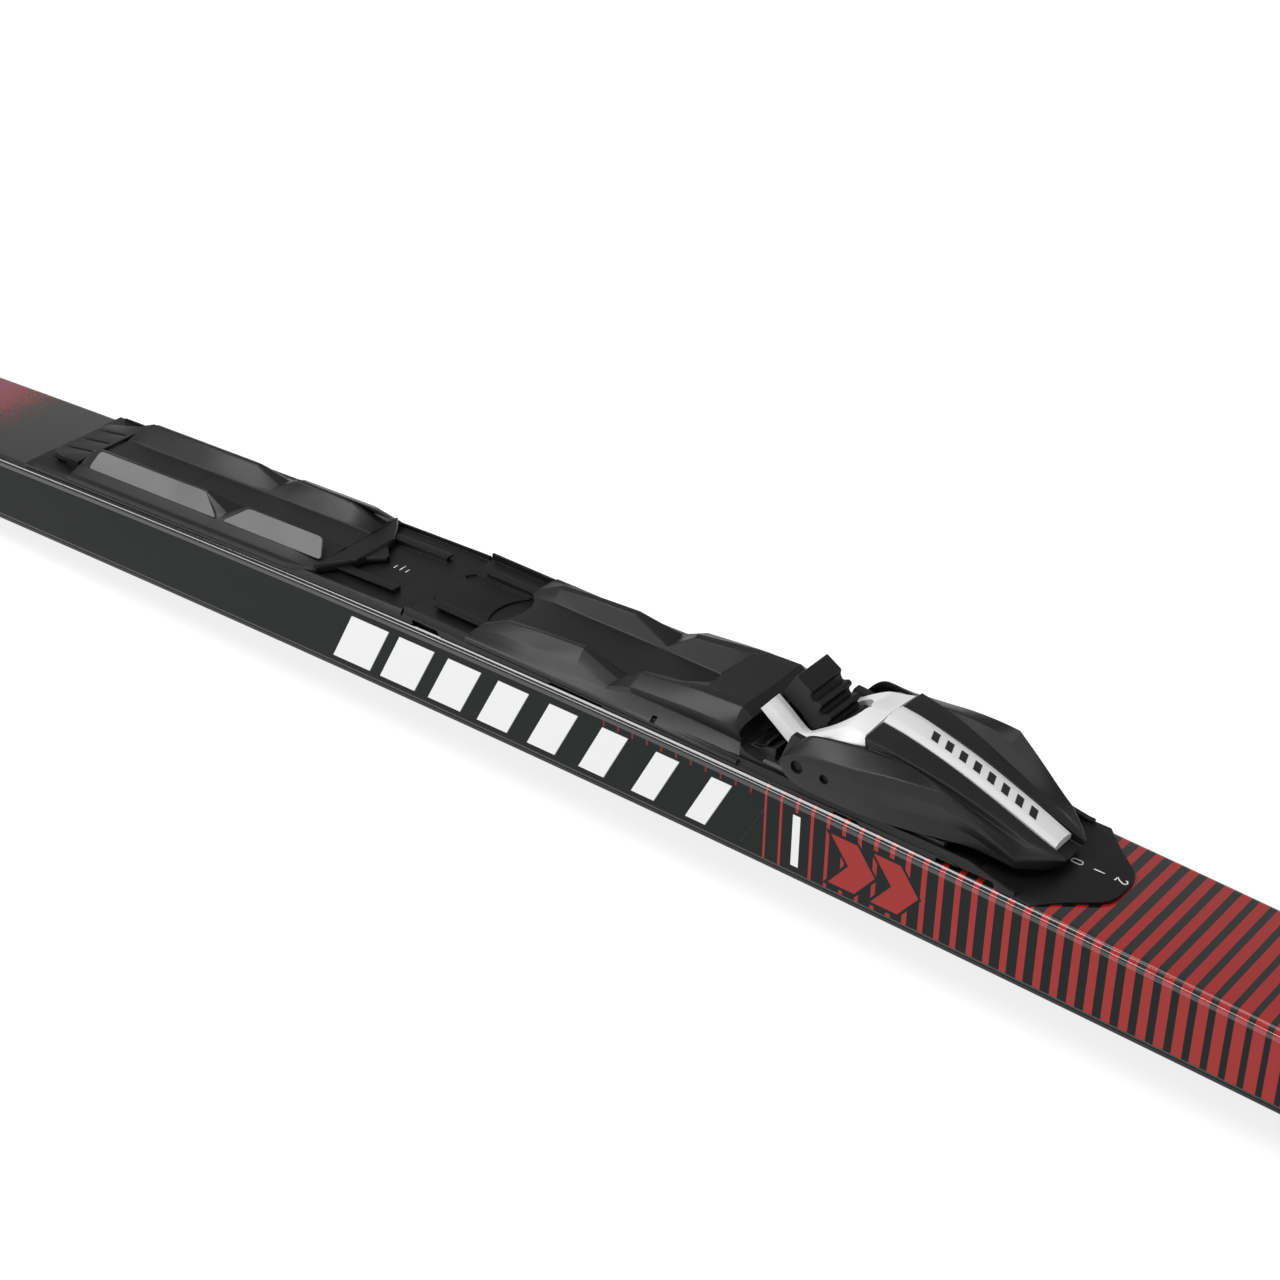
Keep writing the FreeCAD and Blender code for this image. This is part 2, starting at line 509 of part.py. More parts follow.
def build_heel_fittings():
    rear = pad_plate(-281.0, -218.0, 7.0)
    front = pad_plate(-215.0, -172.0, 7.0)
    left = tilt(Part.makeCompound([rear, front]))
    right = left.mirror(V(0, 0, 0), V(0, 1, 0))
    PARTS["grip_pads_left"] = left
    PARTS["grip_pads_right"] = right
    body = PARTS["heel_body"]
    PARTS["heel_body"] = body.cut([left, right]).removeSplitter()

    tail = top_prism(symmetric([(-304.0, 8.0), (-301.0, 13.0), (-285.0, 16.6)]), 0.4, 4.6)
    slope = side_prism([(-306, 1.6), (-306, 8), (-284, 8), (-284, 4.6)], -20, 20)
    tail = tail.cut(slope)
    tongue = box(-286.5, -238.0, -4.8, 4.8, 1.9, 3.6)
    lug = rod(-242.0, 2.75, 1.4, -4.8, 4.8)
    tab = tail.fuse([tongue, lug])
    for y in (-7.7, 0.0, 7.7):
        tab = tab.cut(box(-303, -287, y - 0.5, y + 0.5, 2.2, 6))
    rail_room = both_sides(box(-310, -284, RAIL_IN - GAP, RAIL_OUT + GAP, 0, RAIL_H + GAP))
    tab = tab.cut([rail_room, rod(-242.0, 2.75, 0.85, -10, 10)])
    PARTS["heel_release_tab"] = tilt(tab.removeSplitter())
    PARTS["tab_pin"] = tilt(rod(-242.0, 2.75, 0.8, -7.6, 7.6))
    PARTS["heel_body"] = PARTS["heel_body"].cut(PARTS["tab_pin"])


def main():
    os.makedirs("parts", exist_ok=True)
    build_ski()
    build_plate()
    build_boot_guide()
    build_toe_chassis()
    build_toe_frame()
    build_flexor()
    build_jaw()
    build_lever()
    build_position_latch()
    build_heel()
    build_heel_fittings()
    for name, shape in PARTS.items():
        print(name, shape.ShapeType, len(shape.Solids), round(shape.Volume, 1), shape.isValid())
        shape.exportStep("parts/" + name + ".step")


main()
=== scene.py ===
"""Looks for a cross-country ski with its boot binding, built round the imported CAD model.

Frame: +X towards the tip, +Y left, +Z up, origin under the middle of the ski on the floor. Helper
functions take millimetres; at(u, y, h) counts u forward from the boot's toe bar and h up from the
ski's top under it.
"""
import math

import bmesh
import bpy
from mathutils import Matrix, Vector


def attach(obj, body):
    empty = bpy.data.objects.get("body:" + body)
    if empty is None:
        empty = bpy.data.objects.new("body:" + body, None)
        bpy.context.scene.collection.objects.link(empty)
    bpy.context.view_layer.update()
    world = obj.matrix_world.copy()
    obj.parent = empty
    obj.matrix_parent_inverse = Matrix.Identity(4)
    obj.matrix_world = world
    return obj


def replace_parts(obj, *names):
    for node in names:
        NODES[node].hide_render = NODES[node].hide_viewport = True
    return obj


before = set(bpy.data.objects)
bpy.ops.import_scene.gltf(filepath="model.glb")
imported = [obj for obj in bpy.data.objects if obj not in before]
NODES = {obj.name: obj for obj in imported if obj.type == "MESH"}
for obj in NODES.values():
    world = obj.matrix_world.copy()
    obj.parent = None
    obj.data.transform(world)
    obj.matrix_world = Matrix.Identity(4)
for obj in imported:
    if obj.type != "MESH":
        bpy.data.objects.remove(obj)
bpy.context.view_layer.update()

MM = 0.001


# ------------------------------------------------------------------ ski profile, as in the CAD
HALF = 935.0
CREST_X, CAMBER, SPAN = -50.0, 19.0, 820.0
THICK_X, THICK_MAX, THICK_TIP, THICK_TAIL = -100.0, 28.5, 6.0, 7.0
TIP_RISE, TAIL_RISE = 36.0, 5.0
NOSE_X, TAIL_CORNER = 840.0, 9.0
CORNER_R = 3.0
BAR_X, TOP_Z = -59.0, 47.5


def base_z(x):
    front, rear = CREST_X + SPAN, CREST_X - SPAN
    if x > front:
        return TIP_RISE * ((x - front) / (HALF - front)) ** 2
    if x < rear:
        return TAIL_RISE * ((rear - x) / (HALF + rear)) ** 2
    return CAMBER * (1 + math.cos(math.pi * (x - CREST_X) / SPAN)) / 2


def thickness(x):
    if x >= THICK_X:
        s = min(1.0, (x - THICK_X) / (HALF - THICK_X))
        return THICK_TIP + (THICK_MAX - THICK_TIP) * max(0.0, math.cos(math.pi / 2 * s)) ** 2.4
    s = min(1.0, (THICK_X - x) / (HALF + THICK_X))
    return THICK_TAIL + (THICK_MAX - THICK_TAIL) * max(0.0, math.cos(math.pi / 2 * s))


def side_y(x):
    """Half width of the ski, rounding off to nothing at the tip and turning the tail's corners."""
    width = 23.75 - 2.2 * ((x - CREST_X) / HALF) ** 2
    if x > NOSE_X:
        s = min(1.0, (x - NOSE_X) / (HALF - NOSE_X))
        return max(0.4, width * (1 - s * s) ** 0.425)
    into = -HALF + TAIL_CORNER - x
    if into > 0:
        return width - TAIL_CORNER + math.sqrt(max(0.0, TAIL_CORNER ** 2 - into ** 2))
    return width


def stations():
    tail = [-HALF + TAIL_CORNER * (1 - math.cos(math.pi / 2 * i / 8)) for i in range(8)]
    middle = [-HALF + TAIL_CORNER + (NOSE_X + HALF - TAIL_CORNER) * i / 190 for i in range(190)]
    nose = [NOSE_X + (HALF - NOSE_X) * math.sin(math.pi / 2 * i / 28) for i in range(29)]
    return tail + middle + nose


# ------------------------------------------------------------------ materials
class Graph:
    """Short names for building a node material."""

    def __init__(self, name):
        self.material = bpy.data.materials.new(name)
        self.material.use_nodes = True
        self.nodes = self.material.node_tree.nodes
        self.links = self.material.node_tree.links
        self.shader = self.nodes["Principled BSDF"]

    def node(self, kind, **settings):
        made = self.nodes.new(kind)
        for key, value in settings.items():
            setattr(made, key, value)
        return made

    def put(self, value, socket):
        if isinstance(value, (int, float, tuple)):
            socket.default_value = value
        else:
            self.links.new(value, socket)

    def math(self, operation, a, b=0.0):
        made = self.node("ShaderNodeMath", operation=operation)
        self.put(a, made.inputs[0])
        self.put(b, made.inputs[1])
        return made.outputs[0]

    def every(self, *masks):
        total = masks[0]
        for mask in masks[1:]:
            total = self.math("MULTIPLY", total, mask)
        return total

    def either(self, a, b):
        return self.math("MAXIMUM", a, b)

    def step(self, value, low, high):
        """1 above high, 0 below low, straight between."""
        made = self.node("ShaderNodeMapRange", clamp=True)
        self.put(value, made.inputs[0])
        made.inputs[1].default_value, made.inputs[2].default_value = low, high
        return made.outputs[0]

    def band(self, value, low, high, soft=0.06):
        return self.every(self.step(value, low - soft, low + soft),
                          self.math("SUBTRACT", 1.0, self.step(value, high - soft, high + soft)))

    def mix(self, factor, a, b):
        made = self.node("ShaderNodeMix", data_type="RGBA")
        self.put(factor, made.inputs[0])
        self.put(a, made.inputs[6])
        self.put(b, made.inputs[7])
        return made.outputs[2]

    def blend(self, factor, a, b):
        made = self.node("ShaderNodeMix", data_type="FLOAT")
        self.put(factor, made.inputs[0])
        self.put(a, made.inputs[2])
        self.put(b, made.inputs[3])
        return made.outputs[0]

    def position(self):
        """Row coordinates in millimetres: x, y, z."""
        coordinates = self.node("ShaderNodeTexCoord")
        split = self.node("ShaderNodeSeparateXYZ")
        self.links.new(coordinates.outputs["Object"], split.inputs[0])
        return [self.math("MULTIPLY", split.outputs[i], 1000.0) for i in range(3)]

    def noise(self, scale, detail=3.0, roughness=0.55, stretch=None):
        coordinates = self.node("ShaderNodeTexCoord")
        source = coordinates.outputs["Object"]
        if stretch:
            mapping = self.node("ShaderNodeMapping")
            mapping.inputs["Scale"].default_value = stretch
            self.links.new(source, mapping.inputs[0])
            source = mapping.outputs[0]
        made = self.node("ShaderNodeTexNoise")
        made.inputs["Scale"].default_value = scale
        made.inputs["Detail"].default_value = detail
        made.inputs["Roughness"].default_value = roughness
        self.links.new(source, made.inputs["Vector"])
        return made.outputs[0]

    def bump(self, height, strength, distance):
        made = self.node("ShaderNodeBump")
        made.inputs["Strength"].default_value = strength
        made.inputs["Distance"].default_value = distance
        self.put(height, made.inputs["Height"])
        self.links.new(made.outputs[0], self.shader.inputs["Normal"])

    def set(self, **values):
        names = {"color": "Base Color", "rough": "Roughness", "metal": "Metallic",
                 "coat": "Coat Weight", "coat_rough": "Coat Roughness",
                 "specular": "Specular IOR Level", "glow": "Emission Strength"}
        for key, value in values.items():
            self.put(value, self.shader.inputs[names[key]])
        return self.material


def grey(level):
    return (level, level, level, 1.0)


def moulded(name, level, rough, grain=0.35, scale=2600.0):
    """Moulded plastic with a fine spark-eroded grain and slight changes in sheen."""
    g = Graph(name)
    fine = g.noise(scale, 2.0, 0.6)
    cloudy = g.noise(45.0, 3.0)
    base = g.mix(g.step(cloudy, 0.3, 0.75), grey(level * 0.88), grey(level * 1.12))
    g.bump(fine, grain, 0.00006)
    return g.set(color=base, specular=0.32,
                 rough=g.math("ADD", g.math("MULTIPLY", cloudy, 0.12), rough - 0.06))


def metal(name, level, rough, stretch=(1.0, 30.0, 1.0)):
    """Ground steel: fine streaks along the grind."""
    g = Graph(name)
    streaks = g.noise(700.0, 3.0, 0.6, stretch)
    g.bump(streaks, 0.2, 0.00003)
    return g.set(color=g.mix(streaks, grey(level * 0.85), grey(level)), metal=1.0,
                 rough=g.math("ADD", g.math("MULTIPLY", streaks, 0.18), rough))


# Printed colours: satin sidewall, flat of the cap, glossy edge, tail.
RED, FLAT_RED = (0.305, 0.031, 0.028, 1.0), (0.252, 0.040, 0.038, 1.0)
BRIGHT_RED, TAIL_RED = (0.30, 0.008, 0.007, 1.0), (0.27, 0.012, 0.014, 1.0)
TAIL_BLUE = (0.020, 0.050, 0.155, 1.0)
CHARCOAL, GLOSSY_BLACK = (0.0085, 0.0095, 0.010, 1.0), grey(0.004)
WHITE = grey(0.76)

# Places of the print along the ski, forward from the crest of the camber, and up from its base.
PITCH = 5.38
TAIL_START = -357.0
TAIL_LINES = (-402.0, -431.0, -448.0, -486.0, -530.0)
BLOCKS_START, BLOCK_PITCH = -172.0, 20.2
CHEVRON_STARTS, CHEVRON_WIDTH, CHEVRON_OUTLINE = (29.0, 43.5), 9.0, 1.1
PRINT_LOW, PRINT_HIGH, PRINT_MIDDLE = 4.4, 22.6, 13.4


def stripe_mask(g, along):
    """Red bars across the ski: hairlines at the binding that widen towards the tip."""
    count = g.math("DIVIDE", along, PITCH)
    number = g.math("FLOOR", g.math("ADD", count, 0.5))
    offset = g.math("ABSOLUTE", g.math("SUBTRACT", count, number))
    duty = g.math("MINIMUM", g.math("ADD", g.math("MULTIPLY", number, 0.0177), 0.14), 0.80)
    edge = g.math("SUBTRACT", g.math("MULTIPLY", duty, 0.5), offset)
    return g.every(g.step(edge, -0.008, 0.008), g.step(number, -0.6, -0.4)), number


def block_mask(g, along, height):
    """Eight slanted white blocks that narrow towards the tip."""
    sheared = g.math("ADD", g.math("SUBTRACT", along, g.math("MULTIPLY", height, 0.5)),
                     -BLOCKS_START)
    place = g.math("DIVIDE", sheared, BLOCK_PITCH)
    number = g.math("FLOOR", place)
    inside = g.math("SUBTRACT", place, number)
    width = g.math("SUBTRACT", 0.78, g.math("MULTIPLY", number, 0.06))
    return g.every(g.math("SUBTRACT", 1.0, g.step(g.math("SUBTRACT", inside, width), -0.01, 0.01)),
                   g.band(place, 0.0, 8.0, 0.001), g.band(height, PRINT_LOW, PRINT_HIGH))


def chevron_mask(g, along, height, start, grow):
    """An arrowhead pointing to the tip."""
    away = g.math("ABSOLUTE", g.math("SUBTRACT", height, PRINT_MIDDLE))
    place = g.math("ADD", g.math("SUBTRACT", along, start), g.math("MULTIPLY", away, 0.75))
    return g.every(g.band(place, -grow, CHEVRON_WIDTH + grow), g.band(away, -1.0, 8.6 + grow))


def tail_color(g, along, y, dark):
    """Red tail with a cloudy blue field, thin white cross lines and a speckled front edge."""
    cloud = g.noise(9.0, 5.0, 0.6)
    blue = g.every(g.band(along, -640.0, -378.0, 22.0), g.step(cloud, 0.44, 0.62))
    field = g.mix(blue, TAIL_RED, TAIL_BLUE)
    span = g.math("ABSOLUTE", y)
    for place in TAIL_LINES:
        line = g.every(g.band(along, place - 0.45, place + 0.45), g.band(span, -1.0, 17.0))
        field = g.mix(g.math("MULTIPLY", line, 0.75), field, WHITE)
    speckle = g.noise(1300.0, 2.0, 0.7)
    fade = g.step(along, TAIL_START - 14.0, TAIL_START + 26.0)
    grain = g.step(g.math("SUBTRACT", speckle, g.math("MULTIPLY", fade, 0.5)), 0.22, 0.30)
    return g.mix(g.math("MULTIPLY", grain, g.math("SUBTRACT", 1.0, fade)), dark, field)


def cap_material():
    """Printed top skin: satin on the flat, glossy and deeper on the rounded edges."""
    g = Graph("ski_cap_print")
    x, y, _ = g.position()
    along = g.math("SUBTRACT", x, CREST_X)
    stripes, _ = stripe_mask(g, along)
    edge = g.node("ShaderNodeAttribute", attribute_name="edge").outputs["Fac"]
    flat = g.mix(stripes, CHARCOAL, FLAT_RED)
    glossy = g.mix(stripes, GLOSSY_BLACK, BRIGHT_RED)
    ahead = g.mix(edge, flat, glossy)
    dark = g.mix(edge, CHARCOAL, GLOSSY_BLACK)
    behind = tail_color(g, along, y, dark)
    color = g.mix(g.step(along, TAIL_START + 40.0, TAIL_START + 42.0), behind, ahead)
    fine = g.noise(3200.0, 2.0)
    g.bump(g.math("MULTIPLY", fine, g.math("SUBTRACT", 1.0, edge)), 0.12, 0.00004)
    return g.set(color=color, rough=g.blend(edge, 0.42, 0.16), specular=0.45, coat=edge,
                 coat_rough=0.04)


def sidewall_material():
    """Satin print on the sides: stripes, an outlined pair of arrowheads, a bar and white blocks."""
    g = Graph("ski_sidewall_print")
    x, _, _ = g.position()
    along = g.math("SUBTRACT", x, CREST_X)
    height = g.node("ShaderNodeAttribute", attribute_name="height").outputs["Fac"]
    stripes, number = stripe_mask(g, along)
    third = g.band(number, 1.5, 2.5, 0.1)
    bar = g.every(g.band(along, 9.5, 12.1), g.band(height, 4.6, PRINT_HIGH))
    base = g.mix(g.every(stripes, g.math("SUBTRACT", 1.0, third)), CHARCOAL, RED)
    base = g.mix(g.every(third, stripes, g.band(height, 23.6, 30.0)), base, RED)
    count = g.math("ADD", g.math("DIVIDE", along, PITCH), 0.5)
    ticks_at = g.math("ABSOLUTE", g.math("SUBTRACT", g.math("FRACT", count), 0.5))
    ticks = g.every(g.math("SUBTRACT", 1.0, g.step(ticks_at, 0.05, 0.07)),
                    g.band(along, -62.0, -2.0), g.band(height, 23.4, 30.0), 0.55)
    base = g.mix(ticks, base, RED)
    for grow, color in ((CHEVRON_OUTLINE, CHARCOAL), (0.0, RED)):
        for start in CHEVRON_STARTS:
            base = g.mix(chevron_mask(g, along, height, start, grow), base, color)
    base = g.mix(g.either(bar, block_mask(g, along, height)), base, WHITE)
    color = g.mix(g.step(along, TAIL_START - 0.2, TAIL_START + 0.2), TAIL_RED, base)
    fine = g.noise(2800.0, 2.0)
    g.bump(fine, 0.15, 0.00004)
    streak = g.noise(60.0, 3.0, 0.5, (0.15, 1.0, 2.0))
    return g.set(color=color, rough=g.math("ADD", g.math("MULTIPLY", streak, 0.10), 0.40),
                 specular=0.12)


def laminate_material():
    """Edge of the carbon laminate, streaked along the ski."""
    g = Graph("laminate_edge")
    g.bump(g.noise(900.0, 2.0, 0.5, (0.2, 1.0, 1.0)), 0.2, 0.00004)
    return g.set(color=g.mix(g.noise(500.0), grey(0.02), grey(0.05)), rough=0.25)


# ------------------------------------------------------------------ mesh building
def add_mesh(name, vertices, faces, body, slot, material):
    data = bpy.data.meshes.new(name)
    data.from_pydata([tuple(c * MM for c in v) for v in vertices], [], faces)
    data.validate()
    data.materials.append(material)
    made = bpy.data.objects.new(name, data)
    bpy.context.scene.collection.objects.link(made)
    for polygon in data.polygons:
        polygon.use_smooth = True
    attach(made, body)
    return made


def bridge(rings):
    """Quads between closed rings of equal length, with a face on each end."""
    count = len(rings[0])
    faces = []
    for r in range(len(rings) - 1):
        for i in range(count):
            j = (i + 1) % count
            faces.append((r * count + i, r * count + j, (r + 1) * count + j, (r + 1) * count + i))
    faces.append(tuple(reversed(range(count))))
    faces.append(tuple((len(rings) - 1) * count + i for i in range(count)))
    return [v for ring in rings for v in ring], faces


def sharpen(made, angle):
    """Splits the shading where the surface turns by more than the angle."""
    made.data.set_sharp_from_angle(angle=math.radians(angle))


def sweep_ski(name, xs, section, slot, material):
    rings = [[(x, y, base_z(x) + z) for y, z in section(x)] for x in xs]
    made = add_mesh(name, *bridge(rings), "ski", slot, material)
    sharpen(made, 32.0)
    return made


def add_attribute(made, name, value):
    layer = made.data.attributes.new(name, "FLOAT", "POINT")
    for i, vertex in enumerate(made.data.vertices):
        layer.data[i].value = value(*(c / MM for c in vertex.co))


SOLE, LAMINATE, CAP_DEPTH, WALL = 1.4, 2.2, 3.2, 3.0
TAIL_GUARD, TIP_GUARD = 34.0, 62.0


def sole_section(x):
    w = side_y(x) - min(0.45, side_y(x) * 0.1)
    depth = 0.7 if -860 < x < 740 else 0.0
    g = min(1.5, w * 0.3)
    return [(-w + 0.3, 0), (-g, 0), (-g * 0.75, depth), (g * 0.75, depth), (g, 0), (w - 0.3, 0),
            (w, 0.35), (w, SOLE), (-w, SOLE), (-w, 0.35)]


def laminate_section(x):
    w = side_y(x) - min(0.7, side_y(x) * 0.12)
    return [(-w, SOLE), (w, SOLE), (w, LAMINATE), (-w, LAMINATE)]


def wall_section(side):
    def section(x):
        w = side_y(x)
        foot = w - min(0.45, w * 0.1)
        inner = max(0.0, w - WALL)
        top = max(LAMINATE + 0.3, thickness(x) - CAP_DEPTH)
        ring = [(inner, LAMINATE), (foot - 0.25, LAMINATE), (foot, LAMINATE + 0.3),
                (w - 0.03, top - 0.1), (w - 0.15, top), (inner, top)]
        return ring if side > 0 else [(-y, z) for y, z in reversed(ring)]
    return section


def guard_section(x):
    w = side_y(x)
    foot = w - min(0.45, w * 0.1)
    top = max(LAMINATE + 0.3, thickness(x) - CAP_DEPTH)
    return [(-foot, LAMINATE), (foot, LAMINATE), (w - 0.05, top), (-w + 0.05, top)]


def cap_section(x):
    w, t = side_y(x), thickness(x)
    r = min(CORNER_R, w * 0.8)
    side = [(w, t - CAP_DEPTH)]
    side += [(w - r + r * math.cos(a), t - r + r * math.sin(a))
             for a in (math.pi / 2 * i / 10 for i in range(11))]
    inner = max(0.0, w - WALL)
    under = [(-inner, t - CAP_DEPTH + 1.2), (inner, t - CAP_DEPTH + 1.2)]
    left = [(-y, z) for y, z in reversed(side)]
    return ([(inner, t - CAP_DEPTH)] + side + left + [(-inner, t - CAP_DEPTH)] + under)


def build_ski():
    xs = stations()
    tail_end, tip_start = -HALF + TAIL_GUARD, HALF - TIP_GUARD
    body_xs = [tail_end] + [x for x in xs if tail_end + 2 < x < tip_start - 2] + [tip_start]
    tail_xs = [x for x in xs if x < tail_end - 2] + [tail_end]
    tip_xs = [tip_start] + [x for x in xs if x > tip_start + 2]
    base = moulded("sintered_base", 0.012, 0.30, 0.2, 1500.0)
    carbon = laminate_material()
    wall = sidewall_material()
    guard = moulded("guard_plastic", 0.02, 0.35)
    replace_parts(sweep_ski("ski_sole", xs, sole_section, "base", base), "base_sole")
    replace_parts(sweep_ski("ski_laminate", xs, laminate_section, "laminate", carbon),
                "lower_laminate")
    for side, node in ((1, "sidewall_left"), (-1, "sidewall_right")):
        made = sweep_ski("ski_" + node, body_xs, wall_section(side), "sidewall", wall)
        add_attribute(made, "height", lambda x, _, z: z - base_z(x))
        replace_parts(made, node)
    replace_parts(sweep_ski("ski_tail_guard", tail_xs, guard_section, "guard", guard), "tail_guard")
    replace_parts(sweep_ski("ski_tip_guard", tip_xs, guard_section, "guard", guard), "tip_guard")
    cap = sweep_ski("ski_cap", xs, cap_section, "cap", cap_material())

    def edge(x, y, _):
        return 1.0 if abs(y) > side_y(x) - CORNER_R - 0.01 and x < NOSE_X + 60 else 0.0

    add_attribute(cap, "edge", edge)
    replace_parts(cap, "cap")


# ------------------------------------------------------------------ binding shapes
def at(u, y, h):
    return (BAR_X + u, y, TOP_Z + h)


def curve_rows(rows, per):
    """Rows of points with smooth rows added between them; a row given twice keeps its corner."""
    def point(i, k):
        return Vector(rows[max(0, min(len(rows) - 1, i))][k])

    made = []
    for i in range(len(rows) - 1):
        if all((point(i, k) - point(i + 1, k)).length < 1e-6 for k in range(len(rows[0]))):
            continue
        for step in range(per):
            t = step / per
            row = []
            for k in range(len(rows[0])):
                a, b, c, d = (point(i + j, k) for j in (-1, 0, 1, 2))
                span = max(1e-6, (c - b).length)
                before = (c - a) / (max(1e-6, (b - a).length) + span) * span
                after = (d - b) / (span + max(1e-6, (d - c).length)) * span
                if (b - a).length < 1e-6:
                    before = c - b
                if (d - c).length < 1e-6:
                    after = c - b
                row.append(tuple((2 * t ** 3 - 3 * t ** 2 + 1) * b + (t ** 3 - 2 * t ** 2 + t) * before
                                 + (3 * t ** 2 - 2 * t ** 3) * c + (t ** 3 - t ** 2) * after))
            made.append(row)
    made.append([tuple(point(len(rows) - 1, k)) for k in range(len(rows[0]))])
    return made


def round_corners(row, radius, closed, steps=3):
    """Rounds every corner of a row of points; ends of an open row stay where they are."""
    points = [Vector(p) for p in row]
    count = len(points)
    made = []
    for i, p in enumerate(points):
        if not closed and i in (0, count - 1):
            made.append(tuple(p))
            continue
        before, after = points[i - 1], points[(i + 1) % count]
        a = p + (before - p).normalized() * min(radius, (before - p).length * 0.45)
        b = p + (after - p).normalized() * min(radius, (after - p).length * 0.45)
        for step in range(steps + 1):
            t = step / steps
            made.append(tuple(a * (1 - t) ** 2 + p * 2 * t * (1 - t) + b * t ** 2))
    return made


def soften(made, width):
    """Rounds the corners of a mesh by the width."""
    bevel = made.modifiers.new("soften", "BEVEL")
    bevel.width = width * MM
    bevel.segments = 3
    bevel.limit_method = "ANGLE"
    bevel.angle_limit = math.radians(28)
    bevel.harden_normals = True


def clean(made, sharp, bevel=0.0):
    """Merges doubled points, drops empty faces, turns all faces outwards and sets sharp edges."""
    work = bmesh.new()
    work.from_mesh(made.data)
    bmesh.ops.remove_doubles(work, verts=work.verts, dist=0.000012)
    bmesh.ops.dissolve_degenerate(work, edges=work.edges, dist=0.000005)
    bmesh.ops.recalc_face_normals(work, faces=work.faces)
    work.to_mesh(made.data)
    work.free()
    for polygon in made.data.polygons:
        polygon.use_smooth = True
    if bevel:
        soften(made, bevel)
    sharpen(made, sharp)
    return made


def mirror_loft(name, rows, body, slot, material, radius, per, sharp=35.0):
    """Closed loft through rows of the left half, (u, y, h), with its mirror image joined at y 0."""
    rings = [[at(*p) for p in round_corners(row, radius, False)] for row in curve_rows(rows, per)]
    vertices, faces = bridge(rings)
    faces = [face for face in faces if any(abs(vertices[i][1]) >= 0.001 for i in face)]
    offset = len(vertices)
    vertices += [(x, -y, z) for x, y, z in vertices]
    faces += [tuple(offset + i for i in reversed(face)) for face in faces]
    return clean(add_mesh(name, vertices, faces, body, slot, material), sharp)


def prism(name, outline, y0, y1, body, slot, material, radius, bevel, mirrored=False):
    """Rounded side outline of (u, h) points, extruded from y0 to y1."""
    flat = round_corners([(u, 0, h) for u, h in outline], radius, True)
    count = len(flat)
    vertices, faces = [], []
    for side in ((1, -1) if mirrored else (1,)):
        base = len(vertices)
        vertices += [at(u, side * y, h) for y in (y0, y1) for u, _, h in flat]
        faces += [(base + i, base + (i + 1) % count, base + count + (i + 1) % count, base + count + i)
                  for i in range(count)]
        faces += [tuple(base + i for i in reversed(range(count))),
                  tuple(base + count + i for i in range(count))]
    return clean(add_mesh(name, vertices, faces, body, slot, material), 40.0, bevel)


def drill(made, holes, y0, y1):
    """Cuts round holes along Y, given as (u, h, radius), on both sides."""
    shapes = []
    for u, h, r in holes:
        for side in (1, -1):
            ring = circle(u, h, r, 32)
            shapes.append(bridge([[at(a, side * y0, b) for a, b in ring],
                                  [at(a, side * y1, b) for a, b in ring]]))
    cut_shapes(made, shapes)


# Bores through the lever's arms: u, h and radius.
LEVER_PIVOT, LEVER_DETENT = (18.3, 10.1, 2.05), (27.6, 10.1, 1.5)

# Half sections of the lever run outwards from the middle of the strip's groove and back under the
# shell: groove floor, groove foot, groove edge, panel edge, scoop floor, scoop edge, wing crest,
# lower crease, flank, lower edge, inner lower edge, roof corner, roof.
LEVER_REAR_FACE = [(35.4, 0, 21.6), (35.4, 5.05, 21.6), (34.6, 5.05, 23.2), (34.6, 15.0, 22.8),
                   (36.4, 15.1, 20.1), (35.4, 16.0, 20.0), (35.2, 22.5, 17.0), (35.2, 23.1, 14.0),
                   (35.2, 23.3, 9.0), (35.2, 23.3, 3.6), (35.2, 18.6, 3.6), (35.8, 18.5, 16.6),
                   (36.8, 0, 19.5)]


def arm_row(u, top_y, top_h, edge_y, edge_h, side_h, low):
    """Section of one arm of the lever behind its panels."""
    top = (u, top_y, top_h)
    return [top] * 5 + [(u, top_y + 0.8, top_h - 0.1), (u, edge_y, edge_h), (u, 23.3, side_h),
                        (u, 23.4, (side_h + low) / 2), (u, 23.3, low), (u, 18.7, low),
                        (u, 18.7, max(low + 0.4, top_h - 3.0)), (u, top_y, top_h - 1.4)]


def shell_row(u, groove, top, panel, floor, scoop, crest, crease, flank, low, roof):
    """Section of the lever's shell at u."""
    return [(u, 0, groove), (u, 5.05, groove), (u, 5.05, top), (u, *panel), (u, *floor), (u, *scoop),
            (u, *crest), (u, *crease), (u, *flank), (u, *low), (u, low[0] - 1.5, low[1]), (u, *roof),
            (u, 0, groove - 1.3)]


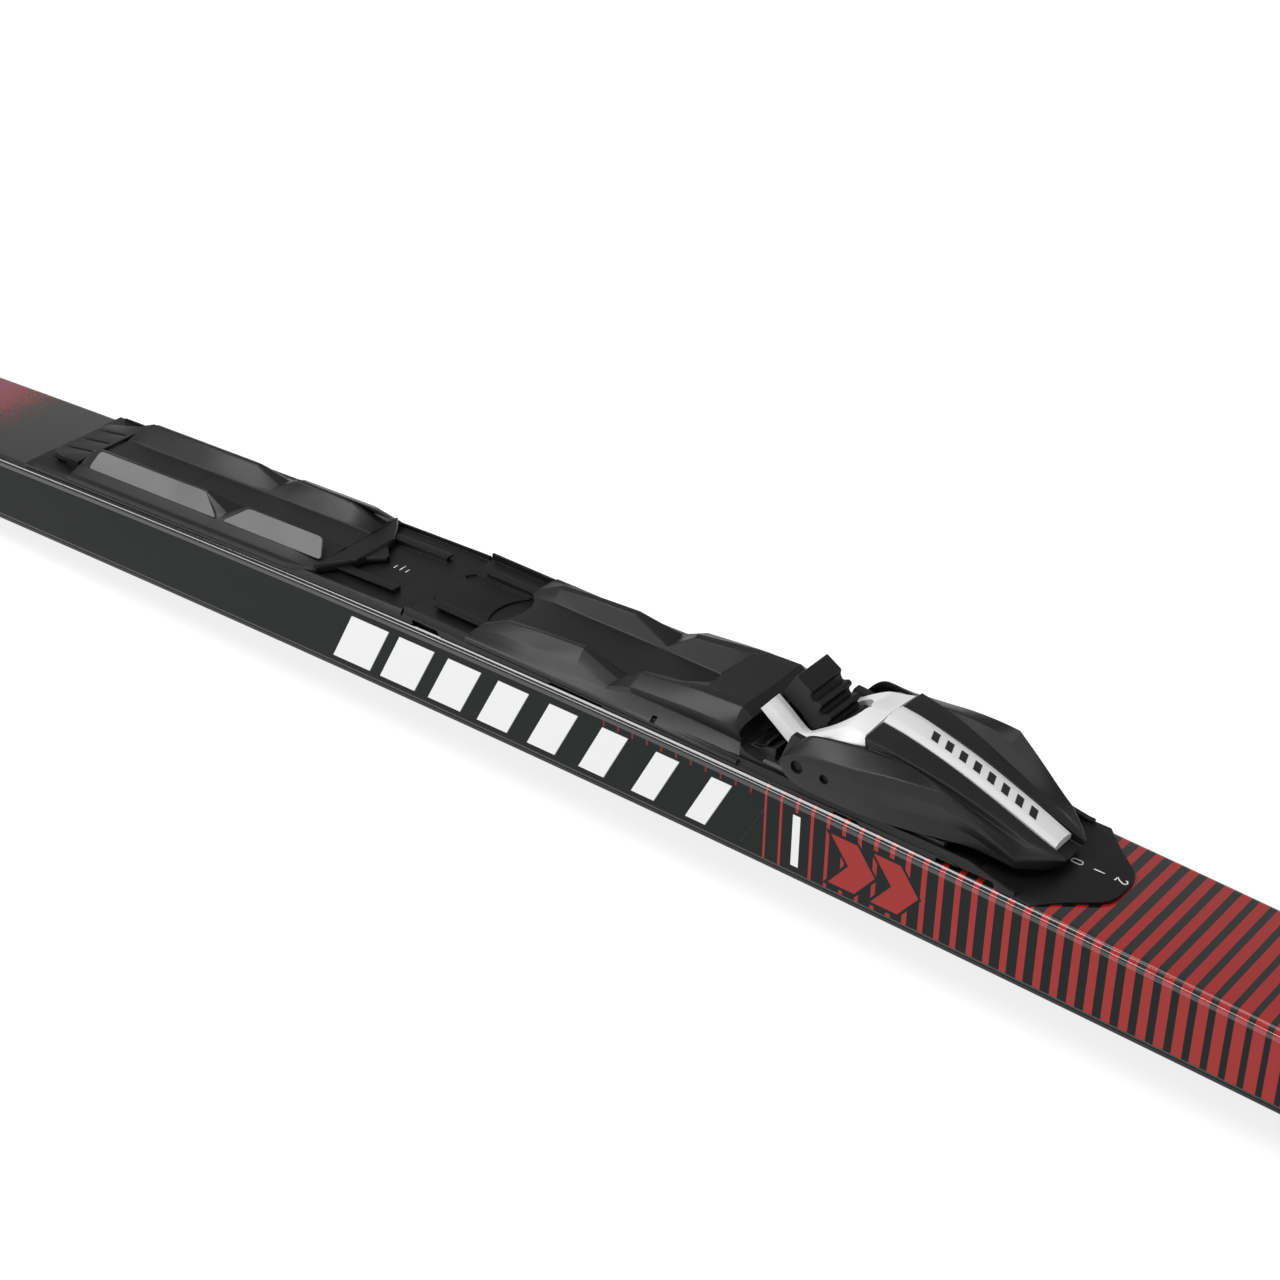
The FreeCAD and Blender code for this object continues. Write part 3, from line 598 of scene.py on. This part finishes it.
def lever_rows():
    """Half sections of the whole lever, from the arms' rear ends to the tip."""
    arms = [arm_row(12.6, 18.9, 11.2, 22.9, 10.9, 10.3, 8.6),
            arm_row(13.2, 18.7, 12.2, 22.9, 11.4, 10.4, 7.2),
            arm_row(14.6, 18.5, 14.0, 22.8, 12.2, 10.8, 5.7),
            arm_row(16.6, 18.3, 16.4, 22.8, 13.4, 11.4, 4.6),
            arm_row(19.0, 18.1, 18.4, 22.8, 14.4, 12.0, 3.9),
            arm_row(21.5, 17.9, 19.2, 22.7, 15.0, 12.6, 3.6),
            arm_row(28.0, 16.6, 19.8, 22.6, 16.0, 13.2, 3.6)]
    meet = [(36.4, 15.2, 20.1)] * 5 + LEVER_REAR_FACE[5:12] + [(36.4, 15.2, 18.8)]
    shell = [shell_row(41.0, 20.6, 22.3, (14.4, 22.0), (14.6, 19.8), (15.9, 20.4), (22.1, 17.9),
                       (22.9, 14.0), (23.1, 9.0), (23.2, 3.8), (18.5, 16.2)),
             shell_row(47.0, 19.5, 21.1, (13.9, 20.7), (14.1, 19.5), (16.0, 20.7), (21.7, 18.9),
                       (22.5, 14.4), (22.3, 9.2), (22.9, 4.0), (18.4, 15.4)),
             shell_row(56.0, 17.2, 18.8, (12.6, 18.3), (13.1, 17.0), (16.2, 19.7), (20.9, 19.9),
                       (21.7, 15.6), (20.6, 10.0), (21.6, 4.4), (18.0, 14.0)),
             shell_row(64.0, 14.7, 16.3, (11.5, 15.8), (12.3, 14.2), (16.4, 17.4), (20.0, 20.3),
                       (20.4, 15.9), (18.8, 9.6), (19.9, 4.7), (16.0, 12.2)),
             shell_row(64.6, 14.5, 16.1, (11.4, 15.6), (12.2, 14.0), (16.3, 17.1), (19.9, 20.1),
                       (20.3, 15.6), (18.7, 9.4), (19.8, 4.7), (15.9, 12.0)),
             shell_row(73.0, 11.5, 13.1, (10.5, 12.6), (11.3, 10.9), (14.9, 12.8), (18.3, 14.6),
                       (18.4, 12.1), (16.6, 7.6), (17.2, 4.2), (13.2, 8.3)),
             shell_row(80.0, 8.8, 10.5, (9.8, 10.0), (10.8, 8.6), (13.7, 9.1), (16.8, 9.8),
                       (16.9, 8.4), (15.8, 5.2), (15.9, 3.0), (11.0, 5.6)),
             shell_row(85.8, 6.4, 8.3, (9.4, 7.7), (10.4, 7.0), (12.5, 6.5), (15.7, 6.0),
                       (15.75, 5.2), (15.5, 3.6), (15.4, 2.3), (9.0, 3.8))]
    tip = [shell[-1],
           shell_row(91.6, 3.4, 6.4, (7.2, 6.1), (8.0, 5.9), (9.0, 5.6), (10.4, 5.3),
                     (10.45, 4.4), (10.4, 3.0), (10.3, 1.7), (6.6, 1.9)),
           [(95.0, 0, 2.7), (95.0, 5.05, 2.7), (95.9, 5.05, 4.8), (95.9, 5.4, 4.75),
            (95.8, 5.6, 4.7), (95.8, 5.9, 4.65), (95.8, 6.1, 4.55), (95.5, 6.15, 3.8),
            (94.8, 6.1, 2.4), (94.2, 6.0, 1.4), (94.2, 4.5, 1.4), (94.2, 4.2, 1.5), (94.6, 0, 1.6)]]
    return (curve_rows(arms + [meet], 4)[:-1] + [meet, LEVER_REAR_FACE]
            + curve_rows([LEVER_REAR_FACE] + shell, 4)[1:] + curve_rows(tip, 3)[1:])


def build_lever(black, white):
    lever = mirror_loft("lever_shell", lever_rows(), "lever", "lever", black, 0.45, 1)
    drill(lever, [LEVER_PIVOT, LEVER_DETENT], 21.5, 26.0)
    sharpen(lever, 35.0)
    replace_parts(lever, "lever")

    places = ((34.5, 23.3, 4.95), (41.0, 22.5, 4.95), (48.0, 20.9, 4.9), (56.0, 18.8, 4.85),
              (64.0, 16.4, 4.8), (73.0, 13.2, 4.7), (80.0, 10.6, 4.6), (86.0, 8.2, 4.5),
              (91.6, 5.9, 4.4))
    strip = [[(u, 0, top - 1.4), (u, half, top - 1.4), (u, half, top), (u, half * 0.55, top + 0.75),
              (u, 0, top + 0.95)] for u, top, half in places]
    made = mirror_loft("lever_strip_crowned", strip, "lever", "strip_white", white, 0.35, 4)
    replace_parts(made, "lever_strip")


def build_toe_frame(white):
    """Rows of inner top, ridge, outer edge, outer underside and inner underside."""
    rows = [[(1.3, 8.4, 20.2), (1.7, 11.0, 20.8), (1.2, 14.2, 19.9), (-1.2, 14.2, 16.9),
             (-1.2, 8.4, 16.6)],
            [(5.2, 8.4, 17.6), (5.7, 11.0, 18.2), (5.2, 14.2, 17.3), (2.8, 14.2, 14.0),
             (2.8, 8.4, 13.8)],
            [(10.8, 8.4, 13.4), (11.4, 11.2, 14.1), (11.0, 14.2, 13.2), (8.7, 14.2, 9.7),
             (8.7, 8.4, 9.5)],
            [(12.9, 8.4, 12.5), (13.2, 11.4, 13.2), (13.1, 14.2, 12.4), (10.9, 14.2, 8.5),
             (10.9, 8.4, 8.4)],
            [(15.0, 8.4, 13.8), (15.4, 11.8, 14.5), (15.8, 14.2, 13.8), (15.5, 14.2, 9.8),
             (15.2, 8.4, 9.6)],
            [(20.8, 8.4, 18.0), (21.2, 12.4, 18.3), (21.8, 14.3, 17.6), (22.6, 14.3, 13.2),
             (22.2, 8.4, 13.0)],
            [(25.0, 4.6, 21.0), (25.4, 12.0, 20.8), (26.2, 15.9, 18.9), (27.0, 15.2, 16.4),
             (26.2, 4.6, 15.4)],
            [(27.2, 0.0, 22.6), (29.2, 11.4, 22.0), (30.2, 15.7, 19.6), (30.8, 15.0, 17.2),
             (29.0, 0.0, 16.2)],
            [(33.5, 0.0, 23.2), (33.8, 13.2, 22.4), (34.8, 14.7, 20.2), (35.0, 14.0, 19.2),
             (34.6, 0.0, 17.6)]]
    made = mirror_loft("toe_frame_saddle", rows, "toe_unit", "frame_white", white, 0.5, 3, 40.0)
    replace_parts(made, "toe_frame")


def build_flexor(rubber):
    outline = [(13.4, 10.0), (11.0, 14.0), (8.0, 16.6), (1.6, 19.8), (6.2, 28.0), (11.6, 24.8),
               (11.3, 23.2), (12.2, 21.6), (14.6, 22.6), (15.5, 21.6), (14.5, 19.6), (15.3, 18.3),
               (17.9, 19.6), (18.9, 18.6), (17.6, 16.4), (18.3, 15.2), (20.9, 16.6), (21.9, 15.6),
               (20.6, 13.2), (22.9, 13.6), (23.6, 12.4), (22.6, 11.2)]
    made = prism("flexor_block", outline, -7.7, 7.7, "toe_unit", "flexor_rubber", rubber, 0.55, 0.55)
    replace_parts(made, "flexor")


def guide_row(u, floor, foot, inner, crest, shoulder, side, skirt):
    """Half section of the boot guide at u: height of the valley floor, then (y, h) of the valley's
    foot, inner crest, outer crest, shoulder, side and skirt, and back along the underside."""
    return [(u, 0, floor), (u, *foot), (u, *inner), (u, *crest), (u, *shoulder), (u, *side),
            (u, *skirt), (u, 22.9, 2.4), (u, 22.9, 1.5), (u, 0, 1.5)]


def build_boot_guide(black):
    rows = [guide_row(-105.3, 2.6, (8.8, 2.6), (12.6, 3.5), (14.8, 3.6), (18.4, 3.4),
                      (20.0, 3.2), (22.4, 2.9)),
            guide_row(-96.0, 4.2, (8.8, 4.2), (12.0, 7.7), (13.9, 8.2), (17.4, 5.2),
                      (20.0, 4.0), (22.4, 3.0)),
            guide_row(-82.0, 4.3, (8.8, 4.3), (11.8, 9.2), (13.8, 9.6), (17.4, 5.9),
                      (20.0, 4.3), (22.4, 3.0)),
            guide_row(-66.0, 4.5, (8.8, 4.5), (11.6, 10.3), (13.8, 10.7), (17.6, 6.4),
                      (20.0, 4.6), (22.4, 3.0)),
            guide_row(-53.0, 4.5, (8.8, 4.5), (10.6, 4.7), (13.4, 4.9), (18.6, 5.3),
                      (20.4, 4.8), (22.4, 3.0)),
            guide_row(-44.0, 4.6, (8.8, 4.6), (11.8, 10.8), (13.9, 11.2), (19.4, 9.0),
                      (18.9, 6.6), (22.2, 3.0)),
            guide_row(-31.0, 4.7, (8.6, 4.8), (11.6, 12.8), (14.2, 13.3), (19.7, 10.2),
                      (18.4, 6.4), (21.9, 3.0)),
            guide_row(-22.0, 14.4, (8.4, 14.5), (11.4, 14.6), (14.5, 14.5), (19.8, 10.9),
                      (18.0, 6.2), (21.6, 2.9)),
            guide_row(-14.0, 14.7, (8.4, 14.9), (11.4, 15.1), (14.7, 15.0), (19.8, 11.1),
                      (17.9, 6.0), (21.5, 2.8)),
            guide_row(-7.0, 15.1, (8.4, 15.3), (11.4, 15.5), (14.7, 15.4), (19.5, 10.9),
                      (17.8, 5.8), (21.5, 2.8)),
            guide_row(-2.6, 12.2, (8.4, 12.3), (11.4, 12.4), (14.6, 12.3), (18.8, 8.4),
                      (17.7, 5.0), (21.3, 2.7))]
    guide = mirror_loft("boot_guide_shell", rows, "toe_unit", "housing", black, 0.35, 1, 24.0)
    cut_shapes(guide, [disc_shape(-112.0, 12.0, -2.0, 20.0), tube_shape(0.0, 9.6, 4.7),
                       box_shape(-34.2, -32.4, 18.0, 24.0, 2.5, 4.0),
                       box_shape(-34.2, -32.4, -24.0, -18.0, 2.5, 4.0)])
    sharpen(guide, 24.0)
    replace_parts(guide, "boot_guide")
    outline = [(-3.2, 2.5), (-3.2, 8.6), (-2.7, 6.6), (-1.0, 5.2), (1.4, 4.6), (4.0, 4.3), (7.6, 3.4),
               (9.0, 2.5)]
    lip = prism("boot_guide_lip", outline, 17.3, 20.6, "toe_unit", "housing", black, 0.5, 0.4,
                mirrored=True)
    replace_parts(lip, "boot_guide")


def circle(a, b, r, steps):
    """Points round the centre (a, b), which is (u, y) or (u, h)."""
    return [(a + r * math.cos(2 * math.pi * i / steps), b + r * math.sin(2 * math.pi * i / steps))
            for i in range(steps)]


def disc_shape(u, r, h0, h1):
    """Upright cylinder on the middle plane."""
    ring = circle(u, 0.0, r, 64)
    return bridge([[at(a, b, h) for a, b in ring] for h in (h0, h1)])


def tube_shape(u, h, r):
    """Cylinder across the whole binding."""
    ring = circle(u, h, r, 40)
    return bridge([[at(a, y, b) for a, b in ring] for y in (-30.0, 30.0)])


def box_shape(u0, u1, y0, y1, h0, h1):
    """Upright block."""
    ring = [(u0, y0), (u1, y0), (u1, y1), (u0, y1)]
    return bridge([[at(a, b, h) for a, b in ring] for h in (h0, h1)])


def cut_shapes(made, shapes):
    """Cuts closed shapes out of a closed mesh, at once."""
    cutters = []
    for vertices, faces in shapes:
        data = bpy.data.meshes.new("cutter")
        data.from_pydata([tuple(c * MM for c in v) for v in vertices], [], faces)
        work = bmesh.new()
        work.from_mesh(data)
        bmesh.ops.recalc_face_normals(work, faces=work.faces)
        work.to_mesh(data)
        work.free()
        cutter = bpy.data.objects.new("cutter", data)
        bpy.context.scene.collection.objects.link(cutter)
        cut = made.modifiers.new("hole", "BOOLEAN")
        cut.object, cut.operation, cut.solver = cutter, "DIFFERENCE", "EXACT"
        cutters.append(cutter)
    bpy.context.view_layer.update()
    evaluated = made.evaluated_get(bpy.context.evaluated_depsgraph_get())
    data = bpy.data.meshes.new_from_object(evaluated)
    made.modifiers.clear()
    made.data = data
    for cutter in cutters:
        bpy.data.objects.remove(cutter)


# Behind SLOPE_START the plate falls away to the rear, by SLOPE_RISE for each millimetre.
SLOPE_START, SLOPE_ANGLE, SLOPE_RISE = -141.0, math.radians(2.69), 0.047


def tilted(points):
    """Points of the heel unit, turned with the sloping rear of the plate."""
    made = []
    for u, y, h in points:
        away = u - SLOPE_START
        made.append((SLOPE_START + away * math.cos(SLOPE_ANGLE) - h * math.sin(SLOPE_ANGLE), y,
                     away * math.sin(SLOPE_ANGLE) + h * math.cos(SLOPE_ANGLE)))
    return made


def heel_row(u, floor, inner, crest, foot, half=22.6):
    """Half section of the heel unit at u: floor, ridge from inner crest to foot, flange, underside."""
    return tilted([(u, 0, floor), (u, 5.6, floor), (u, 6.2, floor + 0.3), (u, *inner), (u, *crest),
                   (u, *foot), (u, 20.6, 2.2), (u, half, 2.0), (u, half, 0.5), (u, 0, 0.5)])


def build_heel(black):
    rows = [heel_row(-284.0, 3.8, (11.0, 4.6), (12.4, 4.8), (17.0, 3.6)),
            heel_row(-281.6, 4.0, (11.2, 7.6), (12.4, 7.9), (17.1, 4.0)),
            heel_row(-277.0, 4.0, (11.3, 9.4), (12.4, 9.7), (17.2, 4.2)),
            heel_row(-250.0, 4.0, (11.3, 9.5), (12.4, 9.8), (17.2, 4.2)),
            heel_row(-226.0, 4.0, (11.3, 9.6), (12.4, 9.9), (17.2, 4.2)),
            heel_row(-217.0, 4.0, (11.6, 4.6), (12.6, 4.7), (17.2, 4.0)),
            heel_row(-208.0, 4.0, (11.3, 9.2), (12.4, 9.5), (17.2, 4.2)),
            heel_row(-195.0, 4.0, (11.3, 9.0), (12.4, 9.3), (17.2, 4.2)),
            heel_row(-183.0, 4.0, (11.3, 8.5), (12.4, 8.8), (17.2, 4.2)),
            heel_row(-178.4, 3.9, (11.2, 7.0), (12.4, 7.4), (16.9, 3.9), 22.4),
            heel_row(-171.6, 3.9, (11.0, 4.0), (12.0, 4.2), (15.6, 3.6), 20.6),
            heel_row(-170.0, 3.8, (10.6, 3.8), (11.8, 3.8), (15.0, 3.4), 20.0)]
    body = mirror_loft("heel_housing", rows, "heel_unit", "housing", black, 0.4, 1, 24.0)
    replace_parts(body, "heel_body")
    places = ((-171.0, 20.2, 3.7), (-167.0, 15.6, 3.6), (-162.6, 9.0, 3.4), (-162.0, 5.4, 2.4),
              (-159.5, 3.0, 2.3), (-157.4, 1.0, 2.1))
    nose = [tilted([(u, 0, top), (u, half - 0.7, top), (u, half, top - 0.8), (u, half, 0.5), (u, 0, 0.5)])
            for u, half, top in places]
    pointer = mirror_loft("heel_pointer", nose, "heel_unit", "housing", black, 0.3, 1, 24.0)
    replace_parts(pointer, "heel_body")


# Grip pads lie on the outer slopes of the ridges, from PAD_FOOT, as (y, h), in by PAD_RUN and up by
# PAD_CLIMB. PAD_ENDS has each pad's rear end and front end, then the slants of the front and the rear.
PAD_WIDTH, PAD_SLANT = 7.4, 8.5
PAD_FOOT, PAD_RUN, PAD_CLIMB = (17.35, 4.15), 4.75, 5.45
PAD_ENDS = ((-278.5, -217.6, PAD_SLANT, 2.0), (-214.6, -170.4, 3.0, PAD_SLANT))


def pad_ring(flat, side, lift):
    """Outline of a pad laid on the slope of one ridge and moved off it by lift."""
    placed = []
    for u, across, _ in flat:
        t = across / PAD_WIDTH
        y = PAD_FOOT[0] - t * PAD_RUN + lift * 0.74
        placed.append((u, side * y, PAD_FOOT[1] + t * PAD_CLIMB + lift * 0.66))
    return [at(*p) for p in tilted(placed)]


def build_grip_pads(grip):
    for side, name in ((1, "grip_pads_left"), (-1, "grip_pads_right")):
        for part, (u0, u1, front, rear) in enumerate(PAD_ENDS):
            outline = [(u0, 0.02), (u1, 0.02), (u1 - front, 0.98), (u0 + rear, 0.98)]
            flat = round_corners([(u, t * PAD_WIDTH, 0) for u, t in outline], 1.6, True, 5)
            rings = [pad_ring(flat, side, -0.5), pad_ring(flat, side, 0.28)]
            pad = add_mesh(f"{name}_{part}", *bridge(rings), "heel_unit", "grip", grip)
            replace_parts(clean(pad, 30.0, 0.12), name)


def stroke(name, points, width, top, material):
    """A thin line of paint on the plate, through (u, y) points at height top."""
    rings = []
    for i, (u, y) in enumerate(points):
        a, b = points[max(0, i - 1)], points[min(len(points) - 1, i + 1)]
        along = Vector((b[0] - a[0], b[1] - a[1])).normalized() * (width / 2)
        left, right = (u - along.y, y + along.x), (u + along.y, y - along.x)
        rings.append([at(*left, top - 0.05), at(*right, top - 0.05), at(*right, top + 0.04),
                      at(*left, top + 0.04)])
    return add_mesh(name, *bridge(rings), "ski", "plate", material)


def strip_material():
    """Gloss white plastic with a row of short slanted black bars."""
    g = Graph("strip_white_print")
    x, y, _ = g.position()
    slanted = g.math("ADD", g.math("SUBTRACT", x, BAR_X), g.math("MULTIPLY", y, 0.35))
    along = g.math("SUBTRACT", slanted, 47.0)
    place = g.math("DIVIDE", along, 4.7)
    inside = g.math("FRACT", place)
    bars = g.every(g.band(inside, 0.12, 0.62, 0.02), g.band(place, 0.0, 8.0, 0.01),
                   g.band(g.math("ABSOLUTE", y), -1.0, 1.9))
    g.bump(g.noise(2600.0, 2.0), 0.1, 0.00004)
    cloudy = g.noise(45.0, 3.0)
    return g.set(color=g.mix(bars, g.mix(cloudy, grey(0.62), grey(0.70)), grey(0.010)),
                 rough=g.math("ADD", g.math("MULTIPLY", cloudy, 0.10), 0.2))


DIGIT_PLACES, DIGIT_Y, DIGIT_HALF_HEIGHT, DIGIT_HALF_WIDTH = (95.3, 102.3, 109.3), 2.7, 1.75, 0.85
NOSE_TOP = -1.0
TICK_PLACES = (-153.5, -151.0, -148.5)


def build_marks(paint):
    """Position numbers 0, 1 and 2 on the plate's nose and tick marks in front of the heel unit."""
    high, wide, y = DIGIT_HALF_HEIGHT, DIGIT_HALF_WIDTH, DIGIT_Y
    zero, one, two = DIGIT_PLACES
    ring = [(zero + (high - wide) * (1 if math.cos(a) > 0 else -1) + wide * math.cos(a),
             y + wide * math.sin(a)) for a in (math.pi * (i + 0.5) / 12 for i in range(24))]
    hook = [(two + high - wide + wide * math.cos(a), y + wide * math.sin(a))
            for a in (math.radians(d) for d in (100, 75, 50, 25, 0, -25, -50, -75, -100, -130))]
    foot = [(two - 0.7, y - 0.1), (two - high, y + wide), (two - high, y + 0.3), (two - high, y - wide)]
    upright = [(one - high, y), (one, y), (one + high, y)]
    for i, points in enumerate((ring + ring[:2], upright, hook + foot)):
        stroke(f"nose_digit_{i}", points, 0.42, NOSE_TOP, paint)
    for i, u in enumerate(TICK_PLACES):
        end = 1.6 if i == 1 else 0.4
        stroke(f"heel_tick_{i}", [(u, -1.6), (u, end)], 0.4, (u - SLOPE_START) * SLOPE_RISE, paint)


# ------------------------------------------------------------------ carried-over CAD pieces
def finish_node(name, material, bevel):
    """Gives a CAD node its material and softens its corners."""
    node = NODES[name]
    node.data.materials.clear()
    node.data.materials.append(material)
    weld = node.modifiers.new("weld", "WELD")
    weld.merge_threshold = 0.000004
    if bevel:
        soften(node, bevel)
    for polygon in node.data.polygons:
        polygon.use_smooth = True
    split = node.modifiers.new("split", "EDGE_SPLIT")
    split.split_angle = math.radians(35)


def dress_cad():
    black = moulded("black_plastic", 0.0085, 0.40)
    plate = moulded("plate_plastic", 0.004, 0.42)
    white = moulded("white_plastic", 0.66, 0.24, 0.12)
    rubber = moulded("flexor_rubber", 0.008, 0.42, 0.25, 1800.0)
    blued = metal("blued_steel", 0.03, 0.35)
    # Near-black pins: partly dark steel, partly painted shade for the dark recessed bores round them.
    pin_painted_shade = moulded("pin_dark_painted_shade", 0.003, 0.6)
    steel = metal("ground_steel", 0.55, 0.25)
    spring = metal("spring_steel", 0.5, 0.2, (1.0, 1.0, 1.0))
    grip = moulded("grip_grey", 0.14, 0.62, 0.8, 1500.0)
    core = moulded("core_foam", 0.5, 0.7)
    for names, material, bevel in (
            (("mounting_plate",), plate, 0.2),
            (("toe_chassis", "heel_release_tab"), black, 0.35),
            (("spring_stop", "jaw_crank", "tab_pin", "latch_bridge"), steel, 0.1),
            (("bar_seat", "jaw", "position_latch"), blued, 0.1),
            # Pivot and detent pins carry painted shade for the dark bores they sit in.
            (("lever_pivot_pins", "lever_detent_pins"), pin_painted_shade, 0.1),
            (("jaw_spring", "latch_spring"), spring, 0.0),
            (("core", "upper_laminate"), core, 0.0)):
        for name in names:
            finish_node(name, material, bevel)
    build_lever(black, strip_material())
    build_toe_frame(white)
    build_flexor(rubber)
    build_boot_guide(black)
    build_heel(black)
    build_grip_pads(grip)
    build_marks(moulded("mark_paint", 0.75, 0.4, 0.1))


# ------------------------------------------------------------------ studio
CAMERA_PLACE, CAMERA_LENS = Vector((298.37, -553.97, 495.41)), 76.455
AZIMUTH, ELEVATION, ROLL = math.radians(36.687), math.radians(32.301), math.radians(1.805)


def build_floor():
    """Pale floor that also gives off light, so that the shadow under the ski stays faint."""
    data = bpy.data.meshes.new("floor")
    data.from_pydata([(-30, -30, 0), (30, -30, 0), (30, 30, 0), (-30, 30, 0)], [], [(0, 1, 2, 3)])
    floor = bpy.data.objects.new("floor", data)
    bpy.context.scene.collection.objects.link(floor)
    g = Graph("pale_floor")
    data.materials.append(g.set(color=g.mix(g.noise(3.0), grey(0.28), grey(0.30)), rough=0.7,
                                specular=0.1, glow=0.80))


def area_light(name, place, target, size, size_y, power):
    light = bpy.data.lights.new(name, "AREA")
    light.shape = "RECTANGLE"
    light.size, light.size_y, light.energy = size, size_y, power
    made = bpy.data.objects.new(name, light)
    made.location = place
    direction = Vector(target) - Vector(place)
    made.rotation_euler = direction.to_track_quat("-Z", "Y").to_euler()
    bpy.context.scene.collection.objects.link(made)


def build_lights():
    world = bpy.data.worlds.new("studio")
    world.use_nodes = True
    background = world.node_tree.nodes["Background"]
    background.inputs["Color"].default_value = (1, 1, 1, 1)
    background.inputs["Strength"].default_value = 0.34
    bpy.context.scene.world = world
    area_light("overhead", (0.35, -0.3, 2.4), (0, 0, 0), 1.8, 1.8, 20.0)
    area_light("key", (-1.1, -0.75, 1.75), (0, 0, 0.05), 1.2, 0.9, 26.0)
    area_light("front_strip", (-1.4, -1.9, 0.85), (0, 0, 0.03), 2.4, 0.28, 15.0)


def build_camera():
    camera = bpy.data.cameras.new("camera")
    camera.sensor_width = 36.0
    camera.lens = CAMERA_LENS
    camera.clip_start = 0.01
    made = bpy.data.objects.new("camera", camera)
    made.location = CAMERA_PLACE * MM
    forward = Vector((-math.sin(AZIMUTH) * math.cos(ELEVATION), math.cos(AZIMUTH) * math.cos(ELEVATION),
                      -math.sin(ELEVATION)))
    level = forward.cross(Vector((0, 0, 1))).normalized()
    right = level * math.cos(ROLL) + level.cross(forward) * math.sin(ROLL)
    turn = Matrix((right, right.cross(forward), -forward)).transposed()
    made.matrix_world = Matrix.Translation(made.location) @ turn.to_4x4()
    bpy.context.scene.collection.objects.link(made)
    bpy.context.scene.camera = made
    bpy.context.scene.view_settings.view_transform = "Standard"


build_ski()
dress_cad()
build_floor()
build_lights()
build_camera()
